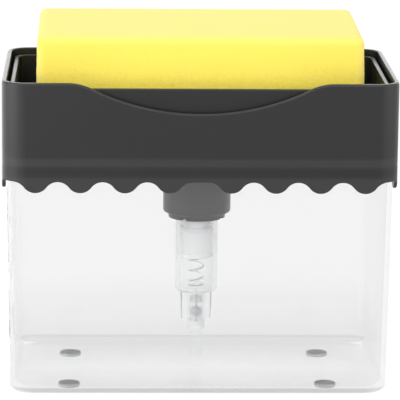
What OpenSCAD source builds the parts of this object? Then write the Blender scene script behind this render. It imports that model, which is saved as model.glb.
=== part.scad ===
// Soap pump caddy: a clear soap reservoir, a lift-off cover with a hand pump in its deck,
// and a sprung tray that holds the sponge and pumps soap up into it when it is pressed.
// Millimetres, +Z up, front towards -Y. The origin is on the surface the feet stand on.
// The widths grow outwards from the sponge, and the heights add up from the feet.

/* [Sponge] */
// Width of the sponge
sponge_w = 110.5; // [80:0.5:160]
// Depth of the sponge, front to back
sponge_d = 60; // [40:0.5:90]
// Thickness of the sponge
sponge_h = 30; // [10:0.5:50]
// Radius of the sponge's edges
sponge_edge_r = 1.2; // [0.5:0.1:4]

/* [Tray] */
// Finger gap between the sponge's ends and the tray's walls
finger_gap_x = 8.05; // [3:0.05:15]
// Finger gap between the sponge and the tray's front and rear walls
finger_gap_y = 5.8; // [3:0.05:15]
// Height of the tray
tray_h = 14.4; // [8:0.1:25]
// Wall of the tray
tray_wall = 1.6; // [1.2:0.1:2]
// Floor of the tray
tray_floor = 1.6; // [1.2:0.1:2.4]
// How far the tray moves down when it is pressed
stroke = 10; // [6:0.5:14]
// Gap that is left under the tray when it is down
tray_floor_gap = 0.7; // [0.4:0.1:2]
// Gap between the tray and the cover's walls
tray_gap = 1; // [0.6:0.1:2]
// Height of the ribs on the tray's floor
tray_rib_h = 0.9; // [0.9:0.1:2]
// Width of such a rib
tray_rib_w = 1.2; // [0.8:0.1:2]
// Distance from one rib to the next
tray_rib_pitch = 13; // [6:0.5:20]
// Gap between the ends of the ribs and the tray's walls
tray_rib_end = 4; // [2:0.5:8]
// Height of the socket under the tray
tray_socket_h = 9.5; // [5:0.1:11]
// Wall of that socket
tray_socket_wall = 1.2; // [0.8:0.1:2]

/* [Cover] */
// Depth from the cover's rim down to the tray's rim
tray_drop = 2.2; // [0.5:0.1:8]
// Wall of the cover above its deck
cover_wall = 1.6; // [1.2:0.1:2]
// Radius of the cover's upright corners
corner_r = 8; // [5.2:0.1:12]
// Thickness of the deck
deck_t = 2; // [1.2:0.1:3]
// Length of the skirt, from the deck down to its lowest points
skirt_h = 8.4; // [5:0.1:14]
// Wall of the skirt
skirt_wall = 1.2; // [0.9:0.1:1.6]

/* [Scallops] */
// Height of the scallops on the skirt's lower edge
scallop_h = 3.8; // [2:0.1:4.5]
// Distance from one scallop to the next
scallop_pitch = 15.2; // [10:0.1:20]
// From the cover's corner to the middle of the last arch on each side
scallop_end = 3.85; // [3:0.05:6]

/* [Finger dips] */
// Width of the dip in the rim at the front and at the back, measured along the rim
dip_w = 81.4; // [50:0.2:95]
// Depth of the dip
dip_h = 10.3; // [5:0.1:14]
// Radius that rounds the dip's shoulders into the rim
dip_shoulder_r = 18; // [3:0.5:20]

/* [Reservoir] */
// Wall of the reservoir
reservoir_wall = 1.8; // [1.2:0.1:2.2]
// Floor of the reservoir
reservoir_floor = 1.8; // [1.2:0.1:3]
// How much narrower each side is at the bottom than at the top
reservoir_draft = 1.05; // [0.3:0.05:2]
// Radius of the lower outside edge
base_edge_r = 2.4; // [1:0.1:4]
// Radius between the floor and the walls, inside
floor_edge_r = 3; // [1:0.1:5]
// Gap between the reservoir and the skirt around it
skirt_gap = 0.3; // [0.2:0.05:0.6]
// Thickness of the locating rib under the deck
locating_rib_t = 1.2; // [0.8:0.1:1.4]
// Height of the locating rib
locating_rib_h = 2.5; // [1:0.1:6]
// Gap between the locating rib and the reservoir's wall
locating_gap = 0.4; // [0.3:0.05:0.8]
// Diameter of the gate mark under the middle of the floor
gate_d = 2.4; // [1.5:0.1:4]
// Depth of the gate mark's recess
gate_depth = 0.5; // [0.3:0.1:0.8]

/* [Feet] */
// Diameter of a foot pad
foot_d = 7.6; // [5:0.2:14]
// Thickness of a foot pad
foot_h = 1.2; // [0.8:0.1:4]
// From the reservoir's side to the middle of a foot
foot_inset_x = 20.2; // [10:0.2:30]
// From the reservoir's front or back to the middle of a foot
foot_inset_y = 16.2; // [8:0.2:25]

/* [Boss and lock ring] */
// Length of the boss below the deck
boss_h = 22.7; // [14:0.1:30]
// Wall of the boss
boss_wall = 1.3; // [1.1:0.1:2.5]
// Radius that rounds the boss's lower edge
boss_edge_r = 0.9; // [0.4:0.1:1.1]
// Depth of the pump's seat, from the end of the boss up to its web
seat_depth = 9; // [6:0.1:12]
// Thickness of the web inside the boss
web_t = 1.6; // [1:0.1:2.4]
// Gap between the stem guide and the edge of the web's hole
web_hole_gap = 0.8; // [0.4:0.1:1.5]
// How far the lock ring's visible step is narrower than the boss's bore, all round
ring_step_inset = 0.6; // [0.2:0.1:1.5]
// Height of the lock ring's visible step
ring_step_h = 1.9; // [1:0.1:4]
// Number of spanner notches in the lock ring
ring_notches = 4; // [2:1:6]
// Width of a spanner notch
notch_w = 2.2; // [1:0.1:3]
// Depth of a spanner notch
notch_h = 0.8; // [0.4:0.1:1]
// Angle of the first spanner notch
notch_angle = 60; // [0:5:90]

/* [Pump housing] */
// Bore of the pump chamber
bore_d = 11.8; // [10:0.1:16]
// Wall of the pump chamber
housing_wall = 1.5; // [1.2:0.1:2.2]
// How far the housing's flange stands out, all round
flange_w = 3; // [2:0.1:4]
// Thickness of the flange
flange_t = 1.6; // [1:0.1:2.2]
// Thickness of the gasket above the flange
gasket_t = 1; // [0.6:0.1:1.4]
// Thickness of the chamber's end wall
chamber_end_t = 1.2; // [1.1:0.1:2]
// Chamfer at the lower edge of the chamber
chamber_chamfer = 1; // [0.5:0.1:1.1]
// Wall of the neck around the ball
neck_wall = 0.7; // [0.6:0.05:1.2]
// Wall of the dip tube's socket
tube_socket_wall = 0.55; // [0.45:0.05:0.9]
// Height of the dip tube's socket
tube_socket_h = 3.4; // [2:0.1:6]
// Height of the ball's seat
ball_seat_h = 1; // [0.6:0.1:2]
// Width of the ledge that the ball seals on
ball_seat_w = 0.6; // [0.4:0.05:0.8]
// From the edge of the chamber in to the edge of a fin
fin_inset = 1.8; // [1.4:0.1:3]
// Thickness of a fin
fin_t = 0.8; // [0.6:0.1:1.4]
// Height of a fin
fin_h = 10.3; // [5:0.1:13]

/* [Valve balls] */
// Diameter of the two valve balls
ball_d = 4; // [3:0.1:5]
// Lift of the valve balls
ball_lift = 0.9; // [0.5:0.1:1.5]
// Play of the valve balls in their chambers, all round
ball_play = 0.3; // [0.3:0.05:0.5]

/* [Ball cage] */
// From the chamber's floor down to the cage
cage_depth = 3.57; // [2:0.01:6]
// Height of the cage's plug
cage_h = 2; // [1.2:0.1:3]
// Diameter of the pin that limits the ball's lift
cage_pin_d = 1.2; // [0.8:0.1:1.6]
// Length of the pin below the plug
cage_pin_h = 0.5; // [0.3:0.1:1.5]
// Width of a flow slot in the plug
cage_slot_w = 1; // [0.6:0.1:1.2]
// Width of the plug's core between two opposite slots
cage_core_w = 2.1; // [1.8:0.1:2.6]

/* [Dip tube] */
// Length of dip tube below the housing, which sets the depth of the reservoir
tube_free_h = 10; // [4:0.5:80]
// Wall of the dip tube
tube_wall = 0.7; // [0.5:0.1:1]
// Gap between the end of the dip tube and the reservoir's floor
tube_end_gap = 2.5; // [1:0.1:8]

/* [Piston and stem] */
// Gap between the piston and the end of the chamber with the tray down
piston_end_gap = 1.2; // [0.5:0.1:3]
// Height of the piston
piston_h = 10.7; // [7:0.1:14]
// Height of each of the piston's two sealing lips
piston_lip_h = 1.6; // [0.8:0.1:2.5]
// How far the piston is drawn in between its lips
piston_waist = 0.45; // [0.2:0.05:0.7]
// Thickness of the piston's web
piston_web_t = 1.5; // [1:0.1:2.5]
// Wall of the piston's skirt
piston_wall = 1.35; // [1:0.05:1.6]
// Thickness of the piston retainer
retainer_t = 1.5; // [1:0.1:2.5]
// How far the piston retainer stands out from the stem, all round
retainer_w = 2; // [1.2:0.1:2.6]
// Gap between the piston retainer and the stem guide with the tray up
up_stop_gap = 0.3; // [0.2:0.05:0.6]
// Length of the stem guide inside the chamber
guide_h = 11.7; // [6:0.1:20]
// Thickness of the stem guide's flange
guide_flange_t = 1.2; // [0.8:0.1:1.8]
// Diameter of the stem
stem_d = 5; // [4.4:0.1:5.8]
// Wall of the stem
stem_wall = 1.2; // [0.9:0.1:1.5]
// Thickness of the collar at the stem's lower end
stem_collar_t = 1.2; // [0.8:0.1:2]
// Wall of the stem's head around the outlet ball
stem_head_wall = 1.8; // [1:0.1:3]
// Height of the outlet ball's seat above the head's lower end
outlet_seat_h = 4.4; // [2:0.1:6]

/* [Nozzle] */
// How far the nozzle reaches into the stem
spigot_h = 1.9; // [1:0.1:3]
// Wall of the nozzle
nozzle_wall = 1.05; // [0.7:0.05:1.3]
// How far the nozzle's flange stands out, all round
nozzle_flange_w = 2.75; // [1:0.05:4]
// Thickness of the nozzle's flange
nozzle_flange_t = 0.7; // [0.4:0.1:0.9]

/* [Spring] */
// Diameter of the spring's wire
wire_d = 0.6; // [0.4:0.05:0.8]
// From the edge of the ball's chamber out to the wire's middle line
spring_seat_w = 0.2; // [0.1:0.05:1]
// Number of open turns
spring_turns = 4.5; // [3:0.25:6]
// Gap between the closed turn at each end and the next one
end_turn_gap = 0.45; // [0.42:0.01:0.8]
// Angle at which the spring's lower end starts
spring_start = 102; // [0:1:359]

/* [Hidden] */
$fn = 96;

// Facets on the rounded corners that are hulled
hull_fn = 32;
// Steps in a hulled edge radius, in degrees
edge_step = 30;
// Overrun of cuts
over = 1;
// Thickness of the slices that a hull spans
slice = 0.02;
// Radial clearance of a piece that runs or sits in a bore
fit = 0.05;
// Clearance of a piece that passes a bore freely
free_gap = 0.2;
// Gap between a ball and the ledge it rests over
ball_gap = 0.3;
// Rings along one turn of the spring, and sides of its wire
spring_rings = 8;
spring_sides = 6;

// Radii around the pump's axis
housing_r = bore_d / 2 + housing_wall;
flange_r = housing_r + flange_w;
boss_bore_r = flange_r + free_gap;
boss_r = boss_bore_r + boss_wall;
ring_bore_r = housing_r + free_gap;
ball_chamber_r = ball_d / 2 + ball_play;
ball_seat_r = ball_d / 2 - ball_seat_w;
neck_r = ball_chamber_r + neck_wall;
tube_r = neck_r - tube_socket_wall - fit;
piston_r = bore_d / 2 - fit;
piston_cavity_r = piston_r - piston_wall;
stem_r = stem_d / 2;
stem_bore_r = stem_r - stem_wall;
stem_head_r = ball_chamber_r + stem_head_wall;
nozzle_r = ball_chamber_r - fit;
nozzle_flange_r = nozzle_r + nozzle_flange_w;

// Heights, from the feet up through the dip tube and the pump to the cover's rim
reservoir_z = foot_h;
floor_z = reservoir_z + reservoir_floor;
tube_z = floor_z + tube_end_gap;
neck_z = tube_z + tube_free_h;
seat_z = neck_z + tube_socket_h;
seat_top_z = seat_z + ball_seat_h;
inlet_ball_z = seat_top_z + sqrt(pow(ball_d / 2, 2) - pow(ball_seat_r, 2)) + ball_gap;
cage_pin_z = inlet_ball_z + ball_d / 2 + ball_lift;
cage_z = cage_pin_z + cage_pin_h;
chamber_floor_z = cage_z + cage_h + cage_depth;
chamber_z = chamber_floor_z - chamber_end_t;
piston_z = chamber_floor_z + stroke + piston_end_gap;
piston_top_z = piston_z + piston_h;
piston_web_z = piston_top_z - piston_web_t;
stem_z = piston_web_z - stem_collar_t;
retainer_top_z = piston_top_z + retainer_t;
guide_z = retainer_top_z + up_stop_gap;
flange_top_z = guide_z + guide_h;
web_z = flange_top_z + gasket_t;
boss_z = web_z - seat_depth;
deck_z = boss_z + boss_h;
deck_top_z = deck_z + deck_t;
tray_z = deck_top_z + tray_floor_gap + stroke;
tray_floor_z = tray_z + tray_floor;
tray_top_z = tray_z + tray_h;
rim_z = tray_top_z + tray_drop;
sponge_z = tray_floor_z + tray_rib_h;
nozzle_end_z = tray_z - spigot_h;
outlet_ball_z = nozzle_end_z - ball_lift - ball_d / 2;
outlet_seat_z = outlet_ball_z - ball_gap - sqrt(pow(ball_d / 2, 2) - pow(stem_bore_r, 2));
stem_head_z = outlet_seat_z - outlet_seat_h;
tip_z = deck_z - skirt_h;

// Widths and depths, from the sponge out to the cover and the reservoir
tray_inner_w = sponge_w + 2 * finger_gap_x;
tray_inner_d = sponge_d + 2 * finger_gap_y;
tray_w = tray_inner_w + 2 * tray_wall;
tray_d = tray_inner_d + 2 * tray_wall;
cover_w = tray_w + 2 * (tray_gap + cover_wall);
cover_d = tray_d + 2 * (tray_gap + cover_wall);
tray_r = corner_r - cover_wall - tray_gap;
reservoir_w = cover_w - 2 * (skirt_wall + skirt_gap);
reservoir_d = cover_d - 2 * (skirt_wall + skirt_gap);
reservoir_r = corner_r - skirt_wall - skirt_gap;
foot_x = reservoir_w / 2 - reservoir_draft - foot_inset_x;
foot_y = reservoir_d / 2 - reservoir_draft - foot_inset_y;
arches_w = cover_w / 2 - scallop_end;
arches_d = cover_d / 2 - scallop_end;
dip_r = (pow(dip_w / 2, 2) + pow(dip_h, 2)) / (2 * dip_h);

spring_mean_r = ball_chamber_r + spring_seat_w;
end_turn_rise = wire_d + end_turn_gap;
spring_low_z = chamber_floor_z + wire_d / 2 + fit;
spring_high_z = stem_z - wire_d / 2 - fit;
spring_all_turns = spring_turns + 2;
spring_pitch = (spring_high_z - spring_low_z - 2 * end_turn_rise) / spring_turns;
spring_steps = round(spring_all_turns * spring_rings);

// A rectangle with round corners, centred on the origin
module round_rect(w, d, r) {
    square([w - 2 * r, d], center = true);
    square([w, d - 2 * r], center = true);
    for (sx = [-1, 1], sy = [-1, 1])
        translate([sx * (w / 2 - r), sy * (d / 2 - r)])
            circle(r = r);
}

// An upright block with round corners, from z0 to z1
module round_block(w, d, r, z0, z1) {
    translate([0, 0, z0])
        linear_extrude(height = z1 - z0)
            round_rect(w, d, r);
}

// A solid of revolution from z0 to z1
module rod(r, z0, z1) {
    translate([0, 0, z0])
        cylinder(r = r, h = z1 - z0);
}

// A tube with a bore
module tube(r, bore_r, z0, z1) {
    difference() {
        rod(r, z0, z1);
        rod(bore_r, z0 - over, z1 + over);
    }
}

// Everything below a scalloped edge. x is along the wall and y is the height over the tips. The arches
// end at half_span on both sides, and the middle arch has a flat top that takes up the rest.
module scallop_cut(half_span) {
    r = (pow(scallop_pitch / 2, 2) + pow(scallop_h, 2)) / (4 * scallop_h);
    count = floor(half_span / scallop_pitch);
    flat = half_span - count * scallop_pitch;
    run = scallop_end + over;
    difference() {
        translate([-half_span - run, -over])
            square([2 * (half_span + run), scallop_h / 2 + over]);
        for (side = [-1, 1], i = [1 : count])
            translate([side * (flat + (i - 0.5) * scallop_pitch), r])
                circle(r = r);
    }
    intersection() {
        for (side = [-1, 1], i = [0 : count])
            translate([side * (flat + i * scallop_pitch), scallop_h - r])
                circle(r = r);
        translate([-half_span - run, scallop_h / 2])
            square([2 * (half_span + run), scallop_h]);
    }
    translate([-flat, 0])
        square([2 * flat, scallop_h]);
    for (side = [-1, 1])
        translate([side * (half_span + run / 2), scallop_h / 2])
            square([run, scallop_h], center = true);
}

// The skirt's scallops all round, taken away from the cover. The corners stay flat at the arches' height.
module scallops() {
    run = scallop_end + over;
    for (side = [-1, 1]) {
        translate([0, side * (arches_d + run / 2), tip_z])
            rotate([90, 0, 0])
                linear_extrude(height = run, center = true)
                    scallop_cut(arches_w);
        translate([side * (arches_w + run / 2), 0, tip_z])
            rotate([90, 0, 90])
                linear_extrude(height = run, center = true)
                    scallop_cut(arches_d);
    }
}

// Outline of a finger dip: x is along the rim, y is height
module dip_cut() {
    centre_y = rim_z - dip_h + dip_r;
    shoulder_y = rim_z - dip_shoulder_r;
    shoulder_x = sqrt(pow(dip_r + dip_shoulder_r, 2) - pow(centre_y - shoulder_y, 2));
    meet_y = centre_y - (centre_y - shoulder_y) * dip_r / (dip_r + dip_shoulder_r);
    translate([0, centre_y])
        circle(r = dip_r);
    difference() {
        translate([-shoulder_x, meet_y])
            square([2 * shoulder_x, dip_h]);
        for (side = [-1, 1])
            translate([side * shoulder_x, shoulder_y])
                circle(r = dip_shoulder_r);
    }
}

module finger_dips() {
    rotate([90, 0, 0])
        linear_extrude(height = cover_d + 2 * over, center = true)
            dip_cut();
}

// Cover: walls, deck, scalloped skirt, locating rib and the boss that holds the pump
module cover() {
    rib_w = reservoir_w - 2 * (reservoir_wall + locating_gap);
    rib_d = reservoir_d - 2 * (reservoir_wall + locating_gap);
    rib_r = reservoir_r - reservoir_wall - locating_gap;
    inner_r = corner_r - cover_wall;
    skirt_r = corner_r - skirt_wall;
    color("#3f3f41")
    difference() {
        union() {
            difference() {
                round_block(cover_w, cover_d, corner_r, tip_z, rim_z);
                round_block(cover_w - 2 * cover_wall, cover_d - 2 * cover_wall, inner_r,
                    deck_top_z, rim_z + over);
                round_block(cover_w - 2 * skirt_wall, cover_d - 2 * skirt_wall, skirt_r,
                    tip_z - over, deck_z);
                scallops();
                finger_dips();
            }
            difference() {
                round_block(rib_w, rib_d, rib_r, deck_z - locating_rib_h, deck_z);
                round_block(rib_w - 2 * locating_rib_t, rib_d - 2 * locating_rib_t,
                    rib_r - locating_rib_t, deck_z - locating_rib_h - over, deck_z + over);
            }
            rod(boss_r, boss_z + boss_edge_r, deck_z);
            rod(boss_r - boss_edge_r, boss_z, deck_z);
            translate([0, 0, boss_z + boss_edge_r])
                rotate_extrude()
                    translate([boss_r - boss_edge_r, 0])
                        circle(r = boss_edge_r);
        }
        rod(boss_bore_r, boss_z - over, web_z);
        rod(housing_r + web_hole_gap, web_z - over, web_z + web_t + over);
        rod(boss_bore_r, web_z + web_t, deck_top_z + over);
    }
}

// A drafted block with round upright corners and a rounded lower edge
module drafted_block(w, d, r, draft, edge_r, z0, z1) {
    hull() {
        for (a = [0 : edge_step : 90])
            rounded_slice(w - 2 * (draft + edge_r * (1 - sin(a))), d - 2 * (draft + edge_r * (1 - sin(a))),
                r, z0 + edge_r * (1 - cos(a)));
        rounded_slice(w, d, r, z1 - slice);
    }
}

module rounded_slice(w, d, r, z) {
    translate([0, 0, z])
        linear_extrude(height = slice)
            round_rect(w, d, r, $fn = hull_fn);
}

// Clear reservoir, a little narrower at the bottom
module reservoir() {
    inner_w = reservoir_w - 2 * reservoir_wall;
    inner_d = reservoir_d - 2 * reservoir_wall;
    inner_r = reservoir_r - reservoir_wall;
    color("#e6eef0", 0.35)
    difference() {
        drafted_block(reservoir_w, reservoir_d, reservoir_r, reservoir_draft, base_edge_r,
            reservoir_z, deck_z);
        drafted_block(inner_w, inner_d, inner_r, reservoir_draft, floor_edge_r,
            floor_z, deck_z + over);
        rod(gate_d / 2, reservoir_z - over, reservoir_z + gate_depth);
    }
}

// Soft foot pad, glued under the reservoir
module foot(sx, sy) {
    color("#8f9294")
    translate([sx * foot_x, sy * foot_y, 0])
        cylinder(d = foot_d, h = foot_h);
}

module foot_front_left() {
    foot(-1, -1);
}

module foot_front_right() {
    foot(1, -1);
}

module foot_rear_left() {
    foot(-1, 1);
}

module foot_rear_right() {
    foot(1, 1);
}

// Soft ring between the web of the boss and the pump's flange
module pump_gasket() {
    color("#d8d8d4")
    tube(flange_r, ring_bore_r, flange_top_z, web_z);
}

// Ring that holds the pump up in the boss, with a narrower step showing below it
module lock_ring() {
    ring_z = boss_z - ring_step_h;
    color("#5a5b5d")
    difference() {
        union() {
            rod(boss_bore_r - fit, boss_z, flange_top_z - flange_t);
            rod(boss_bore_r - ring_step_inset, ring_z, boss_z);
        }
        rod(ring_bore_r, ring_z - over, flange_top_z);
        for (i = [0 : ring_notches - 1])
            rotate([0, 0, notch_angle + i * 360 / ring_notches])
                translate([boss_r, 0, ring_z])
                    cube([2 * (boss_r - ring_bore_r + over), notch_w, 2 * notch_h], center = true);
    }
}

// Pump housing: flange, chamber, neck with the lower ball's seat, tube socket and four fins
module pump_housing() {
    fin_r = housing_r - fin_inset;
    color("#eef0ee", 0.6)
    difference() {
        union() {
            rod(flange_r, flange_top_z - flange_t, flange_top_z);
            rod(housing_r, chamber_z + chamber_chamfer, flange_top_z);
            translate([0, 0, chamber_z])
                cylinder(r1 = housing_r - chamber_chamfer, r2 = housing_r, h = chamber_chamfer);
            rod(neck_r, neck_z, chamber_floor_z);
            for (a = [0, 90])
                rotate([0, 0, a])
                    translate([0, 0, chamber_z - fin_h / 2 + chamber_end_t / 2])
                        cube([2 * fin_r, fin_t, fin_h + chamber_end_t], center = true);
        }
        rod(bore_d / 2, chamber_floor_z, flange_top_z + over);
        rod(ball_chamber_r, seat_top_z, chamber_floor_z + over);
        rod(ball_seat_r, seat_z - over, seat_top_z + over);
        rod(tube_r + fit, neck_z - over, seat_z);
    }
}

// Guide for the stem, pushed into the top of the chamber; it also stops the piston's rise
module stem_guide() {
    color("#f2f2ee")
    difference() {
        union() {
            rod(bore_d / 2 - fit, guide_z, flange_top_z);
            rod(housing_r, flange_top_z, flange_top_z + guide_flange_t);
        }
        rod(stem_r + 2 * fit, guide_z - over, flange_top_z + guide_flange_t + over);
    }
}

module dip_tube() {
    color("#f4f6f6", 0.7)
    tube(tube_r, tube_r - tube_wall, tube_z, seat_z);
}

// Plug that keeps the lower ball in the neck, with slots for the soap
module ball_cage() {
    plug_r = ball_chamber_r - fit;
    slot_depth = plug_r - cage_core_w / 2;
    color("#9a9c9e")
    difference() {
        union() {
            rod(plug_r, cage_z, cage_z + cage_h);
            rod(cage_pin_d / 2, cage_pin_z, cage_z + cage_h);
        }
        for (a = [45, 135, 225, 315])
            rotate([0, 0, a])
                translate([plug_r, 0, cage_z + cage_h / 2])
                    cube([2 * slot_depth, cage_slot_w, cage_h + 2 * over], center = true);
    }
}

// The wire's middle line: a closed turn, the open turns and a closed turn
function spring_height(turn) = spring_low_z
    + end_turn_rise * min(turn, 1)
    + spring_pitch * max(0, min(turn - 1, spring_turns))
    + end_turn_rise * max(0, turn - 1 - spring_turns);
function spring_point(turn) = let (a = spring_start + 360 * turn)
    [spring_mean_r * cos(a), spring_mean_r * sin(a), spring_height(turn)];
spring_path = [for (i = [0 : spring_steps]) spring_point(i * spring_all_turns / spring_steps)];

// Least gap between two stretches of the wire that are over half a turn apart
spring_gap = min([for (i = [0 : spring_steps], j = [0 : spring_steps])
    if (j - i > spring_rings / 2) norm(spring_path[j] - spring_path[i]) - wire_d]);
echo(spring_least_gap_mm = spring_gap);

// One unbroken tube swept along a list of points
module swept_tube(path, r, sides) {
    count = len(path);
    function along(i) = let (v = path[min(i + 1, count - 1)] - path[max(i - 1, 0)]) v / norm(v);
    function outward(i) = let (v = [path[i].x, path[i].y, 0]) v / norm(v);
    function across(i) = let (t = along(i), o = outward(i), c = cross(t, o)) c / norm(c);
    function level(i) = cross(across(i), along(i));
    points = [for (i = [0 : count - 1], k = [0 : sides - 1])
        path[i] + r * (cos(360 * k / sides) * level(i) + sin(360 * k / sides) * across(i))];
    walls = [for (i = [0 : count - 2], k = [0 : sides - 1], half = [0, 1])
        let (a = i * sides + k, b = i * sides + (k + 1) % sides)
        half == 0 ? [a, a + sides, b] : [b, a + sides, b + sides]];
    start_cap = [for (k = [1 : sides - 2]) [0, k, k + 1]];
    end_cap = [for (k = [1 : sides - 2]) (count - 1) * sides * [1, 1, 1] + [0, k + 1, k]];
    polyhedron(points = points, faces = concat(walls, start_cap, end_cap));
}

module spring() {
    color("#b9bcbe")
    swept_tube(spring_path, wire_d / 2, spring_sides);
}

module inlet_ball() {
    color("#6f7377")
    translate([0, 0, inlet_ball_z])
        sphere(d = ball_d);
}

// Hollow stem: a collar that the piston hangs on, the rod and a head that the tray sits on
module stem() {
    color("#f4f4f0")
    difference() {
        union() {
            rod(piston_cavity_r - free_gap, stem_z, piston_web_z);
            rod(stem_r, stem_z, stem_head_z + over);
            rod(stem_head_r, stem_head_z, tray_z);
        }
        rod(stem_bore_r, stem_z - over, tray_z + over);
        rod(ball_chamber_r, outlet_seat_z, tray_z + over);
    }
}

// Cup seal with two lips that wipe the bore
module piston() {
    color("#e9ebe8")
    difference() {
        union() {
            rod(piston_r - piston_waist, piston_z, piston_top_z);
            rod(piston_r, piston_z, piston_z + piston_lip_h);
            rod(piston_r, piston_top_z - piston_lip_h, piston_top_z);
        }
        rod(piston_cavity_r, piston_z - over, piston_web_z);
        rod(stem_r + fit, piston_z - over, piston_top_z + over);
    }
}

module piston_retainer() {
    color("#dfe1de")
    tube(stem_r + retainer_w, stem_r + fit, piston_top_z, retainer_top_z);
}

module outlet_ball() {
    color("#6f7377")
    translate([0, 0, outlet_ball_z])
        sphere(d = ball_d);
}

// Tray that carries the sponge and is pressed to pump
module press_plate() {
    rib_d = tray_inner_d - 2 * tray_rib_end;
    rib_x = nozzle_flange_r + tray_rib_w;
    last_rib = floor((tray_inner_w / 2 - tray_rib_end - rib_x) / tray_rib_pitch);
    socket_r = stem_head_r + fit;
    color("#3a3a3c")
    difference() {
        union() {
            difference() {
                round_block(tray_w, tray_d, tray_r, tray_z, tray_top_z);
                round_block(tray_inner_w, tray_inner_d, tray_r - tray_wall, tray_floor_z,
                    tray_top_z + over);
            }
            for (side = [-1, 1], i = [0 : last_rib])
                translate([side * (rib_x + i * tray_rib_pitch), 0, tray_floor_z + tray_rib_h / 2])
                    cube([tray_rib_w, rib_d, tray_rib_h], center = true);
            rod(socket_r + tray_socket_wall, tray_z - tray_socket_h, tray_z);
        }
        rod(socket_r, tray_z - tray_socket_h - over, tray_z);
        rod(nozzle_r + fit, tray_z - over, tray_floor_z + over);
    }
}

// Outlet in the middle of the tray
module nozzle() {
    color("#d9dbd8")
    difference() {
        union() {
            rod(nozzle_r, nozzle_end_z, tray_floor_z);
            rod(nozzle_flange_r, tray_floor_z, tray_floor_z + nozzle_flange_t);
        }
        rod(nozzle_r - nozzle_wall, nozzle_end_z - over, tray_floor_z + nozzle_flange_t + over);
    }
}

// Cut block of foam, its edges slightly rounded
module sponge() {
    color("#f5e45c")
    hull()
        for (sx = [-1, 1], sy = [-1, 1], top = [0, 1])
            translate([sx * (sponge_w / 2 - sponge_edge_r), sy * (sponge_d / 2 - sponge_edge_r),
                sponge_z + (top == 0 ? sponge_edge_r : sponge_h - sponge_edge_r)])
                sphere(r = sponge_edge_r, $fn = hull_fn / 2);
}

reservoir();
foot_front_left();
foot_front_right();
foot_rear_left();
foot_rear_right();
cover();
pump_gasket();
lock_ring();
pump_housing();
stem_guide();
dip_tube();
ball_cage();
spring();
inlet_ball();
stem();
piston();
piston_retainer();
outlet_ball();
press_plate();
nozzle();
sponge();
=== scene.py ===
import math

import bmesh
import bpy
from mathutils import Matrix, Vector, noise


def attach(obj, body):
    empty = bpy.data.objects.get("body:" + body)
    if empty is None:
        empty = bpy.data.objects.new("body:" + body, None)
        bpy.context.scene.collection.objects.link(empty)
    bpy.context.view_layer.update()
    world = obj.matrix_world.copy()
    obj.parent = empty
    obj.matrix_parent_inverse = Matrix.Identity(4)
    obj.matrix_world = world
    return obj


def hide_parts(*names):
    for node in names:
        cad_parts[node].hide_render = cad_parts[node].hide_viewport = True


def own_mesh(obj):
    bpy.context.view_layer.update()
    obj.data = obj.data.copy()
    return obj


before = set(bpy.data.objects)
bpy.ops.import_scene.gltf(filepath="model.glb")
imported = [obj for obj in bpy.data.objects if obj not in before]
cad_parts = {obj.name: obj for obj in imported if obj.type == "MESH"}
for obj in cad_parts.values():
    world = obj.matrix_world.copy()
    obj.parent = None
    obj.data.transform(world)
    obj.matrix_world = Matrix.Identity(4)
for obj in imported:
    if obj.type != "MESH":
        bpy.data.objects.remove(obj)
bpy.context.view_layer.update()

mm = 0.001
scene = bpy.context.scene


cameraSetup = {
    "place": (-33.26, -1044.48, 278.07),  # mm, as fitted to the rims, the scallops, the collar and the feet
    "turn": 0.0329,  # radians, to the right of +Y
    "tip": 0.204,  # radians, downwards
    "lean": 0.0096,  # radians, its right side up
    "lens": 272.31,
    "sensor": 36,
    "clip": (0.05, 40),
}


def addCamera(setup):
    lens = bpy.data.cameras.new("viewCamera")
    lens.sensor_width = setup["sensor"]
    lens.lens = setup["lens"]
    lens.clip_start, lens.clip_end = setup["clip"]
    camera = bpy.data.objects.new("viewCamera", lens)
    scene.collection.objects.link(camera)
    turn, tip, lean = setup["turn"], setup["tip"], setup["lean"]
    ahead = Vector((math.sin(turn) * math.cos(tip), math.cos(turn) * math.cos(tip), -math.sin(tip)))
    level = ahead.cross(Vector((0, 0, 1))).normalized()
    upright = level.cross(ahead)
    right = math.cos(lean) * level + math.sin(lean) * upright
    up = math.cos(lean) * upright - math.sin(lean) * level
    facing = Matrix((right, up, -ahead)).transposed().to_4x4()
    camera.matrix_world = Matrix.Translation(Vector(setup["place"]) * mm) @ facing
    scene.camera = camera


addCamera(cameraSetup)
scene.view_settings.view_transform = "Standard"
print("camera ready")


def node(tree, kind, values=None, **settings):
    # a value is a plain one, or another node's output, which is linked
    made = tree.nodes.new(kind)
    for name, value in settings.items():
        setattr(made, name, value)
    for name, value in (values or {}).items():
        if isinstance(value, bpy.types.NodeSocket):
            tree.links.new(value, made.inputs[name])
        else:
            made.inputs[name].default_value = value
    return made


def calc(tree, kind, a, b=0.0):
    return node(tree, "ShaderNodeMath", {0: a, 1: b}, operation=kind).outputs[0]


def ramp(tree, value, ends, low=0.0, high=1.0, curve="SMOOTHSTEP"):
    # from low to high as the value goes from one end to the other
    values = {"Value": value, "From Min": ends[0], "From Max": ends[1], "To Min": low, "To Max": high}
    return node(tree, "ShaderNodeMapRange", values, interpolation_type=curve).outputs["Result"]


def band(tree, value, ends, soft):
    # 1 between the ends, 0 outside them
    low, high = ends
    rise = ramp(tree, value, (low - soft, low + soft))
    fall = ramp(tree, value, (high - soft, high + soft), 1.0, 0.0)
    return calc(tree, "MULTIPLY", rise, fall)


def surfacePlace(tree):
    # a point's place on the object, whole, and as X, Y and Z
    place = node(tree, "ShaderNodeTexCoord").outputs["Object"]
    return place, node(tree, "ShaderNodeSeparateXYZ", {0: place}).outputs


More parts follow.
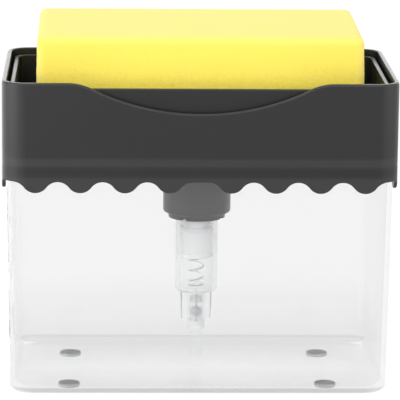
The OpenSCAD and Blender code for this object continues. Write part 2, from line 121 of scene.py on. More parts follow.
def blend(tree, factor, first, second, kind="MIX"):
    # mixes two colours, each a plain one or a node's output
    pair = [(*colour, 1) if isinstance(colour, tuple) else colour for colour in (first, second)]
    values = {"Factor": factor, 6: pair[0], 7: pair[1]}
    return node(tree, "ShaderNodeMix", values, data_type="RGBA", blend_type=kind).outputs[2]


def mixShader(tree, factor, first, second):
    return node(tree, "ShaderNodeMixShader", {"Fac": factor, 1: first, 2: second}).outputs[0]


def newMaterial(name):
    material = bpy.data.materials.new(name)
    material.use_nodes = True
    tree = material.node_tree
    tree.nodes.clear()
    return material, tree, node(tree, "ShaderNodeOutputMaterial")


def newGroup(name, inputs, outputs):
    group = bpy.data.node_groups.new(name, "ShaderNodeTree")
    for label in inputs:
        group.interface.new_socket(name=label, in_out="INPUT", socket_type="NodeSocketFloat")
    for label, kind in outputs.items():
        group.interface.new_socket(name=label, in_out="OUTPUT", socket_type=kind)
    return group, group.nodes.new("NodeGroupInput").outputs, group.nodes.new("NodeGroupOutput")


skinSetup = {
    "inputs": ("Grain Size", "Grain Depth", "Drift", "Base Roughness", "Rub"),
    "outputs": {"Tone": "NodeSocketFloat", "Roughness": "NodeSocketFloat", "Normal": "NodeSocketVector"},
    "grain": {"Detail": 2.0, "Roughness": 0.6},
    "slow": {"Scale": 45.0, "Detail": 3.0, "Roughness": 0.5},
    "marks": {"Scale": 210.0, "Detail": 4.0, "Roughness": 0.65, "Distortion": 0.4},
    "speck": 0.6,  # the grain's share of the drift in tone
    "mean": 0.5,  # of a noise
    "bump": 0.00003,
}


def mouldedSkin(setup):
    # fine grain, slow tone drift and handling marks of moulded plastic or rubber
    group, start, end = newGroup("mouldedSkin", setup["inputs"], setup["outputs"])
    place = node(group, "ShaderNodeTexCoord").outputs["Object"]
    grainValues = {"Vector": place, "Scale": start["Grain Size"], **setup["grain"]}
    grain = node(group, "ShaderNodeTexNoise", grainValues).outputs["Fac"]
    slow = node(group, "ShaderNodeTexNoise", {"Vector": place, **setup["slow"]}).outputs["Fac"]
    marks = node(group, "ShaderNodeTexNoise", {"Vector": place, **setup["marks"]}).outputs["Fac"]
    drift = calc(group, "MULTIPLY", calc(group, "SUBTRACT", slow, setup["mean"]), start["Drift"])
    speckDrift = calc(group, "MULTIPLY", start["Drift"], setup["speck"])
    speck = calc(group, "MULTIPLY", calc(group, "SUBTRACT", grain, setup["mean"]), speckDrift)
    tone = calc(group, "ADD", calc(group, "ADD", drift, speck), 1.0)
    rub = calc(group, "MULTIPLY", calc(group, "SUBTRACT", marks, setup["mean"]), start["Rub"])
    rough = calc(group, "ADD", start["Base Roughness"], rub)
    bumpValues = {"Distance": setup["bump"], "Strength": start["Grain Depth"], "Height": grain}
    bump = node(group, "ShaderNodeBump", bumpValues).outputs["Normal"]
    for label, source in (("Tone", tone), ("Roughness", rough), ("Normal", bump)):
        group.links.new(source, end.inputs[label])
    return group


skin = mouldedSkin(skinSetup)


def placeSkin(tree, values):
    return node(tree, "ShaderNodeGroup", values, node_tree=skin).outputs


def lampSide(tree, shader, through):
    # lets lamps and soft light pass, so that what is inside isn't left in the dark
    path = node(tree, "ShaderNodeLightPath").outputs
    clear = node(tree, "ShaderNodeBsdfTransparent", {"Color": (*through, 1)}).outputs[0]
    either = calc(tree, "MAXIMUM", path["Is Shadow Ray"], path["Is Diffuse Ray"])
    return mixShader(tree, either, shader, clear)


def skinnedSurface(tree, out, shine, colour, values, through=None):
    # a surface with the moulded skin on it; light passes through it where a colour for that is given
    values = {"Base Color": colour, "Roughness": shine["Roughness"], "Normal": shine["Normal"], **values}
    shader = node(tree, "ShaderNodeBsdfPrincipled", values).outputs[0]
    if through:
        shader = lampSide(tree, shader, through)
    tree.links.new(shader, out.inputs["Surface"])


darkSetup = {
    "colour": (0.021, 0.021, 0.0214),
    "surface": {"Specular IOR Level": 0.5, "IOR": 1.46},
    "skin": {"Grain Size": 2600.0, "Grain Depth": 0.22, "Drift": 0.14, "Base Roughness": 0.31, "Rub": 0.1},
}
# painted shade: the same plastic as the cover, drawn a little darker because the tray stands in the cover's
# shade
traySetup = {
    "colour": (0.019, 0.019, 0.0192),
    "surface": {"Specular IOR Level": 0.45, "IOR": 1.46},
    "skin": {**darkSetup["skin"], "Base Roughness": 0.33},
}
# painted light on the cover's wall, level with the deck behind it: a faint paler band of painted highlight
# and a darker line of painted shade
paintedDeckLight = {
    "band": (0.0814, 0.0842),  # metres, as all heights in materials
    "bandTone": 0.6,
    "line": (0.0786, 0.0804),
    "lineTone": -0.12,
    "soft": 0.0007,
    "skirt": (0.0768, 0.0783),  # painted light: paler under these heights, on the skirt's tips and the boss, which light through the clear box reaches
    "skirtTone": 0.65,
}


# painted light and shade on the cover's wall, as a change of tone by height
def paintedDeckTone(tree, setup):
    _, axes = surfacePlace(tree)
    lift = calc(tree, "MULTIPLY", band(tree, axes["Z"], setup["band"], setup["soft"]), setup["bandTone"])
    drop = calc(tree, "MULTIPLY", band(tree, axes["Z"], setup["line"], setup["soft"]), setup["lineTone"])
    skirt = ramp(tree, axes["Z"], setup["skirt"], setup["skirtTone"], 0.0)
    return calc(tree, "ADD", calc(tree, "ADD", lift, drop), skirt)


def darkPlastic(name, setup, paintedLight=None):
    material, tree, out = newMaterial(name)
    shine = placeSkin(tree, setup["skin"])
    tone = shine["Tone"]
    # painted light and shade added to the cover's tone
    if paintedLight:
        tone = calc(tree, "ADD", paintedDeckTone(tree, paintedLight), tone)
    colour = blend(tree, 1.0, setup["colour"], tone, "MULTIPLY")
    skinnedSurface(tree, out, shine, colour, setup["surface"])
    return material


clearSetup = {
    "high": (0.935, 0.935, 0.936),
    "low": (0.82, 0.82, 0.821),  # painted shade: greyer towards the floor, at the back, where the floor behind lies in the caddy's shadow
    "rise": (0.003, 0.03),  # the heights between which the painted shade sets in
    "back": (-0.02, 0.02),  # the depths between which it sets in
    "floor": (0.938, 0.938, 0.939),
    "floorTop": (0.0031, 0.0036),
    "edge": (0.6, 0.6, 0.605),  # painted shade at the bend round the floor, where it is seen along its length, drawn in place of the light that runs along inside the plastic
    "roughness": (0.0024, 0.0072),
    "haze": {"Scale": 160.0, "Detail": 3.0},
    "hazeEnds": (0.35, 0.75),
    "flow": {"Scale": 95.0, "Detail": 2.0, "Roughness": 0.45},
    "flowStretch": (1.0, 1.0, 0.16),  # the flow marks run up the walls
    "bump": {"Strength": 0.012, "Distance": 0.0003},
    "surface": {"IOR": 1.0005, "Transmission Weight": 0.985, "Coat IOR": 1.5, "Coat Roughness": 0.02},
    "coat": 0.85,
    "sideCoat": 0.2,  # of the side walls, which the camera sees nearly edge-on
    "side": (0.0605, 0.0635),
    "floorCoat": 0.45,  # the share of the coat that the floor keeps
    "floorRise": (0.006, 0.009),
    "through": (0.97, 0.975, 0.98),
}


def clearPlastic(name, setup):
    material, tree, out = newMaterial(name)
    place, axes = surfacePlace(tree)
    stretch = node(tree, "ShaderNodeMapping", {"Vector": place, "Scale": setup["flowStretch"]}).outputs[0]
    flow = node(tree, "ShaderNodeTexNoise", {"Vector": stretch, **setup["flow"]}).outputs["Fac"]
    bump = node(tree, "ShaderNodeBump", {"Height": flow, **setup["bump"]}).outputs["Normal"]
    haze = node(tree, "ShaderNodeTexNoise", {"Vector": place, **setup["haze"]}).outputs["Fac"]
    rough = ramp(tree, haze, setup["hazeEnds"], *setup["roughness"], "LINEAR")
    # painted shade: the tint greys low down at the back
    rise = ramp(tree, axes["Z"], setup["rise"])
    front = ramp(tree, axes["Y"], setup["back"], 1.0, 0.0, "LINEAR")
    tint = blend(tree, calc(tree, "MAXIMUM", rise, front), setup["low"], setup["high"])
    under = ramp(tree, axes["Z"], setup["floorTop"], 1.0, 0.0, "LINEAR")
    ground = blend(tree, under, tint, setup["floor"])
    # painted shade on the clear plastic's bends and side walls, read from the edge attribute
    edgeShade = node(tree, "ShaderNodeAttribute", attribute_name="edge").outputs["Fac"]
    side = calc(tree, "ABSOLUTE", axes["X"])
    gleam = ramp(tree, side, setup["side"], setup["coat"], setup["sideCoat"], "LINEAR")
    dull = ramp(tree, axes["Z"], setup["floorRise"], setup["floorCoat"], 1.0, "LINEAR")
    surface = node(tree, "ShaderNodeBsdfPrincipled", {
        "Base Color": blend(tree, edgeShade, ground, setup["edge"]),
        "Roughness": rough,
        "Normal": bump,
        "Coat Weight": calc(tree, "MULTIPLY", gleam, dull),
        **setup["surface"],
    })
    tree.links.new(lampSide(tree, surface.outputs[0], setup["through"]), out.inputs["Surface"])
    return material


milkySkin = {"Grain Size": 1500.0, "Grain Depth": 0.05, "Drift": 0.08, "Rub": 0.08}


def milkySetup(colour, ior, roughness, transmission, coatWeight, fin=1.0):
    # fin is the tone of the fins' outer edges under the chamber, painted shade there
    return {
        "colour": colour,
        "skin": {**milkySkin, "Base Roughness": roughness},
        "surface": {
            "IOR": ior,
            "Transmission Weight": transmission,
            "Coat Weight": coatWeight,
            "Coat IOR": 1.45,
            "Coat Roughness": 0.08,
        },
        "fin": fin,
        "finReach": (0.0048, 0.0051),  # from the pump's axis
        "finTop": (0.0288, 0.0292),
        "through": (0.97, 0.97, 0.97),
    }


def milkyPlastic(name, setup):
    material, tree, out = newMaterial(name)
    shine = placeSkin(tree, setup["skin"])
    place, axes = surfacePlace(tree)
    across = node(tree, "ShaderNodeVectorMath", {0: place, 1: (1, 1, 0)}, operation="MULTIPLY").outputs[0]
    reach = node(tree, "ShaderNodeVectorMath", {0: across}, operation="LENGTH").outputs["Value"]
    # painted shade on the fins' outer edges under the chamber
    outer = ramp(tree, reach, setup["finReach"], 0.0, 1 - setup["fin"], "LINEAR")
    under = ramp(tree, axes["Z"], setup["finTop"], 1.0, 0.0, "LINEAR")
    left = calc(tree, "SUBTRACT", 1.0, calc(tree, "MULTIPLY", outer, under))
    tone = calc(tree, "MULTIPLY", shine["Tone"], left)
    colour = blend(tree, 1.0, setup["colour"], tone, "MULTIPLY")
    skinnedSurface(tree, out, shine, colour, setup["surface"], setup["through"])
    return material


chamberSetup = milkySetup(
    colour=(0.974, 0.975, 0.975), ior=1.02, roughness=0.14, transmission=0.76, coatWeight=0.15, fin=0.6)
tubeSetup = milkySetup(
    colour=(0.985, 0.986, 0.986), ior=1.01, roughness=0.1, transmission=0.95, coatWeight=0.12)
naturalSetup = milkySetup(
    colour=(0.91, 0.91, 0.907), ior=1.05, roughness=0.38, transmission=0.55, coatWeight=0.2)
cageSetup = milkySetup(
    colour=(0.5, 0.5, 0.5), ior=1.05, roughness=0.38, transmission=0.2, coatWeight=0.2)


padSetup = {
    "colour": (0.3, 0.304, 0.308),
    "low": (0.52, 0.525, 0.53),  # painted light: paler near the floor
    "rise": (0.0006, 0.0011),
    "surface": {"Specular IOR Level": 0.3, "IOR": 1.48},
    "skin": {"Grain Size": 1900.0, "Grain Depth": 0.3, "Drift": 0.16, "Base Roughness": 0.6, "Rub": 0.08},
}


def padRubber(name, setup):
    material, tree, out = newMaterial(name)
    shine = placeSkin(tree, setup["skin"])
    _, axes = surfacePlace(tree)
    # painted light: paler near the floor
    paint = blend(tree, ramp(tree, axes["Z"], setup["rise"]), setup["low"], setup["colour"])
    skinnedSurface(tree, out, shine, blend(tree, 1.0, paint, shine["Tone"], "MULTIPLY"), setup["surface"])
    return material


steelSetup = {
    "colour": (0.26, 0.263, 0.266),
    "far": 3.0,  # painted light: the tone at the back, where more of the bright milky chamber stands before the wire
    "depths": (-0.0012, 0.0006),
    "skin": {"Grain Size": 3800.0, "Grain Depth": 0.12, "Drift": 0.16, "Base Roughness": 0.28, "Rub": 0.12},
}
ballSetup = {**steelSetup, "colour": (0.24, 0.245, 0.25), "far": 1.0}


def drawnSteel(name, setup):
    material, tree, out = newMaterial(name)
    shine = placeSkin(tree, setup["skin"])
    _, axes = surfacePlace(tree)
    # painted light: lighter towards the back
    back = ramp(tree, axes["Y"], setup["depths"], 1.0, setup["far"])
    tone = calc(tree, "MULTIPLY", shine["Tone"], back)
    skinnedSurface(tree, out, shine, blend(tree, 1.0, setup["colour"], tone, "MULTIPLY"), {"Metallic": 1.0})
    return material


foamSetup = {
    "colour": (0.955, 0.772, 0.125),
    # painted shade in the pits of the cells
    "deep": (0.82, 0.73, 0.035),
    "paintedSheen": (0.98, 0.8, 0.203),  # painted sheen: paler on the top and the rounded sides, where the foam is seen at a grazing angle
    "sheenRise": (0.1203, 0.1256),
    "sheenSide": (0.0525, 0.0562),
    "fineCell": 1350.0,  # cells per metre
    "wideCell": 520.0,
    "finePit": (0.12, 0.55),  # how far from a cell's middle its rim stands
    "widePit": (0.1, 0.45),
    "fineDepth": 0.6,
    "patch": {"Scale": 210.0, "Detail": 4.0, "Roughness": 0.65},
    "patchEnds": (0.44, 0.66),  # the wide cells come in patches
    "wobble": {"Scale": 900.0, "Detail": 2.0},
    "wobbleReach": 0.0006,
    "open": (0.101, 0.121),  # the cells show less and less between these heights
    "shut": 0.16,  # what shows of them at the top
    "bump": {"Strength": 0.5, "Distance": 0.00035},
    "surface": {
        "Roughness": 0.95,
        "Specular IOR Level": 0.12,
        "Sheen Weight": 0.22,
        "Sheen Roughness": 0.45,
        "Sheen Tint": (1.0, 1.0, 0.9, 1.0),
    },
}


def cellPits(tree, place, scale, ends):
    # 1 in the middle of a cell, 0 on its rim
    values = {"Vector": place, "Scale": scale, "Randomness": 1.0}
    distance = node(tree, "ShaderNodeTexVoronoi", values, feature="F1").outputs["Distance"]
    return calc(tree, "SUBTRACT", 1.0, ramp(tree, distance, ends))


def openFoam(name, setup):
    material, tree, out = newMaterial(name)
    place, axes = surfacePlace(tree)
    wobble = node(tree, "ShaderNodeTexNoise", {"Vector": place, **setup["wobble"]}).outputs["Color"]
    shakeValues = {0: wobble, "Scale": setup["wobbleReach"]}
    shake = node(tree, "ShaderNodeVectorMath", shakeValues, operation="SCALE").outputs[0]
    moved = node(tree, "ShaderNodeVectorMath", {0: place, 1: shake}, operation="ADD").outputs[0]
    patch = node(tree, "ShaderNodeTexNoise", {"Vector": place, **setup["patch"]}).outputs["Fac"]
    some = ramp(tree, patch, setup["patchEnds"])
    wide = calc(tree, "MULTIPLY", cellPits(tree, moved, setup["wideCell"], setup["widePit"]), some)
    finePits = cellPits(tree, moved, setup["fineCell"], setup["finePit"])
    fine = calc(tree, "MULTIPLY", finePits, setup["fineDepth"])
    # the pits darken the colour and deepen the bump more lower down; the darkening is painted shade, in the
    # pits and where the cover's rim shades the front
    lower = ramp(tree, axes["Z"], setup["open"], 1.0, setup["shut"])
    depth = calc(tree, "MULTIPLY", calc(tree, "MAXIMUM", wide, fine), lower)
    colour = blend(tree, depth, setup["colour"], setup["deep"])
    # painted sheen on the top and the rounded sides
    high = ramp(tree, axes["Z"], setup["sheenRise"])
    side = ramp(tree, calc(tree, "ABSOLUTE", axes["X"]), setup["sheenSide"])
    bump = node(tree, "ShaderNodeBump", {"Height": depth, **setup["bump"]}, invert=True).outputs["Normal"]
    surface = node(tree, "ShaderNodeBsdfPrincipled", {
        "Base Color": blend(tree, calc(tree, "MAXIMUM", high, side), colour, setup["paintedSheen"]),
        "Normal": bump,
        **setup["surface"],
    })
    tree.links.new(surface.outputs[0], out.inputs["Surface"])
    return material


finish = {
    "cover": darkPlastic("darkCover", darkSetup, paintedDeckLight),
    "dark": darkPlastic("darkPlastic", darkSetup),
    "tray": darkPlastic("trayPlastic", traySetup),
    "clear": clearPlastic("clearPlastic", clearSetup),
    "milky": milkyPlastic("milkyPlastic", chamberSetup),
    "tube": milkyPlastic("tubePlastic", tubeSetup),
    "pump": milkyPlastic("pumpPlastic", naturalSetup),
    "cage": milkyPlastic("cagePlastic", cageSetup),
    "seal": milkyPlastic("sealRubber", naturalSetup),
    "pad": padRubber("padRubber", padSetup),
    "steel": drawnSteel("drawnSteel", steelSetup),
    "ball": drawnSteel("ballSteel", ballSetup),
    "foam": openFoam("openFoam", foamSetup),
}
print("materials ready")


def dress(shape, name, body, nodes, material, crease=32, weighted=True):
    # makes the bmesh a piece of its own that stands for the CAD nodes
    for edge in shape.edges:
        edge.smooth = len(edge.link_faces) != 2 or edge.calc_face_angle(0) < math.radians(crease)
    for face in shape.faces:
        face.smooth = True
    # spins and bevels order their parts differently in each run, so all are put in order of place
    places = (
        (shape.verts, lambda v: v.co),
        (shape.edges, lambda e: e.verts[0].co + e.verts[1].co),
        (shape.faces, lambda f: f.calc_center_median()),
    )
    for parts, place in places:
        rank = {part: i for i, part in enumerate(sorted(parts, key=lambda part: place(part)[:]))}
        parts.sort(key=rank.get)
    mesh = bpy.data.meshes.new(name)
    shape.to_mesh(mesh)
    shape.free()
    piece = bpy.data.objects.new(name, mesh)
    scene.collection.objects.link(piece)
    mesh.materials.append(material)
    if weighted:
        even = piece.modifiers.new("evenNormals", "WEIGHTED_NORMAL")
        even.keep_sharp = True
        even.weight = 100
    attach(piece, body)
    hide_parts(*nodes)
    return piece


def roundOff(shape, geom, wide, steps, kind="EDGES", clamp=True):
    bmesh.ops.bevel(
        shape, geom=geom, offset=wide, segments=steps, profile=0.5, affect=kind, material=-1,
        clamp_overlap=clamp)


def startRing(shape, half, radius, z, cuts, cornerSteps):
    # a rounded rectangle of edges; half is its half width and half depth
    made = bmesh.ops.create_grid(shape, x_segments=1, y_segments=1, size=1.0)
    for v in made["verts"]:
        v.co = Vector((v.co.x * half[0], v.co.y * half[1], z))
    roundOff(shape, made["verts"], radius, cornerSteps, "VERTICES", False)
    bmesh.ops.delete(shape, geom=shape.faces[:], context="FACES_ONLY")
    for axis in (0, 1):
        straight = [e for e in shape.edges if abs(e.verts[0].co[axis] - e.verts[1].co[axis]) > half[axis]]
        bmesh.ops.subdivide_edges(shape, edges=straight, cuts=cuts[axis])
    return shape.edges[:]


def nextRing(shape, edges, old, new, level):
    # extrudes the ring to another rounded rectangle; old and new are (half width, half depth, corner radius)
    made = bmesh.ops.extrude_edge_only(shape, edges=edges)["geom"]
    verts = [g for g in made if isinstance(g, bmesh.types.BMVert)]
    core = (old[0] - old[2], old[1] - old[2])
    aim = (new[0] - new[2], new[1] - new[2])
    for v in verts:
        inner = [max(-core[i], min(core[i], v.co[i])) for i in (0, 1)]
        out = [(v.co[i] - inner[i]) / old[2] for i in (0, 1)]
        x, y = (inner[i] / core[i] * aim[i] + out[i] * new[2] for i in (0, 1))
        v.co = Vector((x, y, level(x, y) if callable(level) else level))
    return [g for g in made if isinstance(g, bmesh.types.BMEdge) and all(v in verts for v in g.verts)]


def ringRun(shape, edges, half, radius, rows):
    # rows of (inset in mm, level), each a further ring; returns the last ring's edges
    last = (half[0], half[1], radius)
    for inset, level in rows:
        new = (half[0] - inset * mm, half[1] - inset * mm, radius - inset * mm)
        edges = nextRing(shape, edges, last, new, level)
        last = new
    return edges


def lathe(shape, profile, steps, rounding=0.0, corners=3):
    # spins a line of (radius, height) points in mm round the pump's axis
    verts = [shape.verts.new((r * mm, 0, z * mm)) for r, z in profile]
    edges = [shape.edges.new(pair) for pair in zip(verts, verts[1:])]
    if rounding:
        roundOff(shape, verts[1:-1], rounding * mm, corners, "VERTICES")
        flat = 1e-9
        loose = [e for e in shape.edges if not e.link_faces]
        edges = [e for e in loose if all(abs(v.co.y) < flat for v in e.verts)]
    edges = [e for e in edges if e.is_valid]
    line = list(dict.fromkeys(v for e in edges for v in e.verts)) + edges
    bmesh.ops.spin(
        shape, geom=line, cent=(0, 0, 0), axis=(0, 0, 1), angle=2 * math.pi, steps=steps, use_merge=True,
        use_duplicate=False)


def circleEdges(shape, radius, z, near=0.02):
    # the edges of a spun circle that is still open
    def onCircle(v):
        return abs(v.co.xy.length - radius * mm) < near * mm and abs(v.co.z - z * mm) < near * mm

    return [e for e in shape.edges if len(e.link_faces) == 1 and all(onCircle(v) for v in e.verts)]


def fillBetween(shape, ring, radius, z, up):
    # the flat face between a ring and a spun circle
    edges = ring + circleEdges(shape, radius, z)
    bmesh.ops.triangle_fill(shape, edges=edges, use_beauty=True, use_dissolve=False, normal=(0, 0, up))


mergeWithin = 0.002 * mm
flatWithin = math.radians(0.6)
sharpFrom = math.radians(28)


def closeUp(shape):
    bmesh.ops.remove_doubles(shape, verts=shape.verts, dist=mergeWithin)
    bmesh.ops.recalc_face_normals(shape, faces=shape.faces)


def softCopy(nodeName, rounding, steps):
    # a CAD node's mesh, its loose triangles merged and its sharp edges rounded
    shape = bmesh.new()
    shape.from_mesh(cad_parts[nodeName].data)
    bmesh.ops.remove_doubles(shape, verts=shape.verts, dist=mergeWithin)
    bmesh.ops.dissolve_limit(shape, angle_limit=flatWithin, verts=shape.verts, edges=shape.edges)
    sharp = [e for e in shape.edges if len(e.link_faces) == 2 and e.calc_face_angle(0) > sharpFrom]
    roundOff(shape, sharp, rounding * mm, steps)
    return shape


def quarter(wide, steps):
    # rows of (inset, drop) round an edge, from the side up to the top
    angles = [math.pi / 2 * i / steps for i in range(steps + 1)]
    return [(wide * (1 - math.cos(a)), wide * (1 - math.sin(a))) for a in angles]


coverShape = {
    "half": (67.5, 40.0),
    "corner": 8.0,
    "wall": 1.6,
    "skirtWall": 1.2,
    "rimRound": (0.75, 0.45),  # outside and inside, as their steps
    "rimSteps": (5, 3),
    "skirtRound": 0.3,
    "skirtSteps": 3,
    "rim": 110.0,
    "deckTop": 82.7,
    "deckLow": 80.7,
    "deckFillet": (0.7, 0.2),  # its reach, and how far its middle stands off the wall and the deck
    "underFillet": 0.3,
    "sinks": ((0, 87.2), (0.03, 84.6), (0, 82.6), (0.05, 81.5), (0, 80.4)),  # faint hollows outside the deck
    "tips": 72.3,
    "arches": 76.1,
    "pitch": 15.2,
    "span": (63.65, 36.15),  # where the last arches end
    "dipWide": 81.4,
    "dipDeep": 10.3,
    "dipFrom": 30.0,  # the dip is only in the walls further out than this
    "shoulder": 18.0,
    "boss": {"out": 11.9, "bore": 10.6, "hole": 8.2, "low": 58.0, "round": 0.9, "steps": 5},
    "web": (67.0, 68.6),  # in the boss's bore, its underside and its top
    "rib": {"from": 3.7, "to": 4.9, "low": 78.2, "round": 0.2},
    "start": 92.0,
    "cuts": (243, 133),  # along the width and the depth
    "cornerSteps": 16,
    "turnSteps": 72,
}


def rimLevel(x):
    c = coverShape
    dipRadius = ((c["dipWide"] / 2) ** 2 + c["dipDeep"] ** 2) / (2 * c["dipDeep"])
    middle = c["rim"] - c["dipDeep"] + dipRadius
    shoulderZ = c["rim"] - c["shoulder"]
    shoulderX = math.sqrt((dipRadius + c["shoulder"]) ** 2 - (middle - shoulderZ) ** 2)
    meet = shoulderX * dipRadius / (dipRadius + c["shoulder"])
    x = abs(x) / mm
    if x < meet:
        return middle - math.sqrt(dipRadius ** 2 - x * x)
    if x < shoulderX:
        return shoulderZ + math.sqrt(c["shoulder"] ** 2 - (shoulderX - x) ** 2)
    return c["rim"]


def skirtLevel(x, y):
    c = coverShape
    height = c["arches"] - c["tips"]
    r = ((c["pitch"] / 2) ** 2 + height ** 2) / (4 * height)
    x, y = abs(x) / mm, abs(y) / mm
    if y > c["span"][1]:
        along, span = x, c["span"][0]
    else:
        along, span = y, c["span"][1]
    flat = span - math.floor(span / c["pitch"]) * c["pitch"]
    if along >= span or along <= flat:
        return c["arches"]
    off = (along - flat) % c["pitch"]
    off = min(off, c["pitch"] - off)
    if off < c["pitch"] / 4:
        return c["arches"] - r + math.sqrt(r * r - off * off)
    off = c["pitch"] / 2 - off
    return c["tips"] + r - math.sqrt(r * r - off * off)


def buildCover():
    c = coverShape
    boss, rib, wall, skirtWall, deckTop = c["boss"], c["rib"], c["wall"], c["skirtWall"], c["deckTop"]
    shape = bmesh.new()
    half = (c["half"][0] * mm, c["half"][1] * mm)
    radius = c["corner"] * mm

    def rim(drop):
        return lambda x, y: ((rimLevel(x) if abs(y) > c["dipFrom"] * mm else c["rim"]) - drop) * mm

    def skirt(rise):
        return lambda x, y: (skirtLevel(x, y) + rise) * mm

    outside = startRing(shape, half, radius, c["start"] * mm, c["cuts"], c["cornerSteps"])
    outer, inner = (quarter(wide, steps) for wide, steps in zip(c["rimRound"], c["rimSteps"]))
    reach, middle = c["deckFillet"]
    upper = [(inset, rim(drop)) for inset, drop in outer]
    upper += [(wall - inset, rim(drop)) for inset, drop in reversed(inner)]
    fillet = [(wall, deckTop + reach), (wall + middle, deckTop + middle), (wall + reach, deckTop)]
    upper += [(inset, z * mm) for inset, z in fillet]
    deckRing = ringRun(shape, outside, half, radius, upper)
    lower = [(inset, z * mm) for inset, z in c["sinks"]]
    skirtRows = quarter(c["skirtRound"], c["skirtSteps"])
    lower += [(inset, skirt(drop)) for inset, drop in skirtRows]
    lower += [(skirtWall - inset, skirt(drop)) for inset, drop in reversed(skirtRows)]
    ribLow, ribRound = rib["low"], rib["round"]
    under = [
        (skirtWall, c["deckLow"] - c["underFillet"]), (skirtWall + c["underFillet"], c["deckLow"]),
        (rib["from"], c["deckLow"]), (rib["from"], ribLow + ribRound), (rib["from"] + ribRound, ribLow),
        (rib["to"] - ribRound, ribLow), (rib["to"], ribLow + ribRound), (rib["to"], c["deckLow"]),
    ]
    lower += [(inset, z * mm) for inset, z in under]
    underRing = ringRun(shape, outside, half, radius, lower)
    out, bore, hole, (webLow, webTop) = boss["out"], boss["bore"], boss["hole"], c["web"]
    profile = [(bore, deckTop), (bore, webTop), (hole, webTop), (hole, webLow)]
    profile += [(bore, webLow), (bore, boss["low"])]
    bossRows = reversed(quarter(boss["round"], boss["steps"]))
    profile += [(out - inset, boss["low"] + drop) for inset, drop in bossRows]
    profile += [(out, c["deckLow"])]
    lathe(shape, profile, c["turnSteps"])
    fillBetween(shape, deckRing, bore, deckTop, 1)
    fillBetween(shape, underRing, out, c["deckLow"], -1)
    closeUp(shape)
    return dress(shape, "cover_shell", "cover", ["cover"], finish["cover"])


buildCover()
print("cover ready")


trayShape = {
    "half": (64.9, 37.4),
    "corner": 5.4,
    "wall": 1.6,
    "low": 93.4,
    "floor": 95.0,
    "top": 107.8,
    "rimRound": 0.5,
    "innerRound": 0.8,
    "lowRound": 0.6,
    "bendSteps": 4,
    "socket": {"out": 5.35, "bore": 4.15, "hole": 2.3, "low": 83.9, "lead": 0.35, "edge": 0.25},
    "rib": {"top": 95.9, "sunk": 0.3, "wide": 1.2, "long": 63.6, "round": 0.3, "steps": 3},
    "ribs": {"first": 6.2, "pitch": 13.0, "count": 5},  # on each side
    "start": 100.0,
    "cuts": (39, 21),
    "cornerSteps": 10,
    "turnSteps": 48,
}


def buildTray():
    t = trayShape
    wall, low, floor, socket, rib = t["wall"], t["low"], t["floor"], t["socket"], t["rib"]
    shape = bmesh.new()
    half = (t["half"][0] * mm, t["half"][1] * mm)
    radius = t["corner"] * mm
    outside = startRing(shape, half, radius, t["start"] * mm, t["cuts"], t["cornerSteps"])
    rounds = (t["rimRound"], t["innerRound"], t["lowRound"])
    rimRows, innerRows, lowRows = (quarter(wide, t["bendSteps"]) for wide in rounds)
    upper = [(inset, (t["top"] - drop) * mm) for inset, drop in rimRows]
    upper += [(wall - inset, (t["top"] - drop) * mm) for inset, drop in reversed(rimRows)]
    upper += [(wall + inset, (floor + drop) * mm) for inset, drop in innerRows]
    floorRing = ringRun(shape, outside, half, radius, upper)
    lower = [(inset, (low + drop) * mm) for inset, drop in lowRows]
    underRing = ringRun(shape, outside, half, radius, lower)
    out, bore, end, lead, edge = (socket[name] for name in ("out", "bore", "low", "lead", "edge"))
    profile = [(socket["hole"], floor), (socket["hole"], low), (bore, low), (bore, end + lead)]
    profile += [(bore + lead, end), (out - edge, end), (out, end + edge), (out, low)]
    lathe(shape, profile, t["turnSteps"])
    fillBetween(shape, floorRing, socket["hole"], floor, 1)
    fillBetween(shape, underRing, out, low, -1)
    closeUp(shape)
    height = rib["top"] - floor + rib["sunk"]
    ribs = t["ribs"]
    for side in (-1, 1):
        for i in range(ribs["count"]):
            made = bmesh.ops.create_cube(shape, size=1.0)["verts"]
            middle = Vector((side * (ribs["first"] + i * ribs["pitch"]), 0, rib["top"] - height / 2)) * mm
            for v in made:
                v.co = Vector((v.co.x * rib["wide"], v.co.y * rib["long"], v.co.z * height)) * mm + middle
            ribEdges = dict.fromkeys(edge for v in made for edge in v.link_edges)
            top = [edge for edge in ribEdges if all(p.co.z > middle.z for p in edge.verts)]
            roundOff(shape, top, rib["round"] * mm, rib["steps"])
    return dress(shape, "tray_shell", "press_plate", ["press_plate"], finish["tray"])


buildTray()
print("tray ready")


reservoirShape = {
    "half": (66.0, 38.5),
    "corner": 6.5,
    "wall": 1.8,
    "draft": 1.05,  # how far the walls lean in from the top to the floor's bend
    "low": 1.2,
    "floor": 3.0,
    "top": 80.7,
    "lowRound": 2.4,
    "floorRound": 3.0,
    "edge": (0.25, 0.075),  # the rim's rounding, and how far its middle stands off
    "gate": {"radius": 1.2, "deep": 0.5, "flat": 0.8, "steps": 24},  # flat up to this share, then bevelled
    "start": 42.0,
    "cuts": (31, 19),
    "cornerSteps": 14,
    "bendSteps": 8,
}
# painted shade on the clear plastic's bends, where they are seen along their length, and a little on its
# side walls
edgeShadeSetup = {"front": 1.0, "side": 0.3, "wall": 0.08, "wallFrom": 62.8, "over": 0.1, "share": 0.9}


def paintEdgeShade(shell):
    r, m = reservoirShape, edgeShadeSetup
    # painted shade: how dark each point of the clear plastic is drawn
    edge = shell.data.attributes.new("edge", "FLOAT", "POINT")
    flat = r["draft"] + r["lowRound"] + m["over"]
    flatX, flatY = r["half"][0] - flat, r["half"][1] - flat
    bendTop = r["low"] + m["share"] * r["lowRound"]
    for v, edgeShade in zip(shell.data.vertices, edge.data):
        x, y, z = abs(v.co.x) / mm, abs(v.co.y) / mm, v.co.z / mm
        if z < bendTop and (x > flatX or y > flatY):
            edgeShade.value = m["front"] if y > flatY else m["side"]
        else:
            edgeShade.value = m["wall"] if x > m["wallFrom"] else 0.0


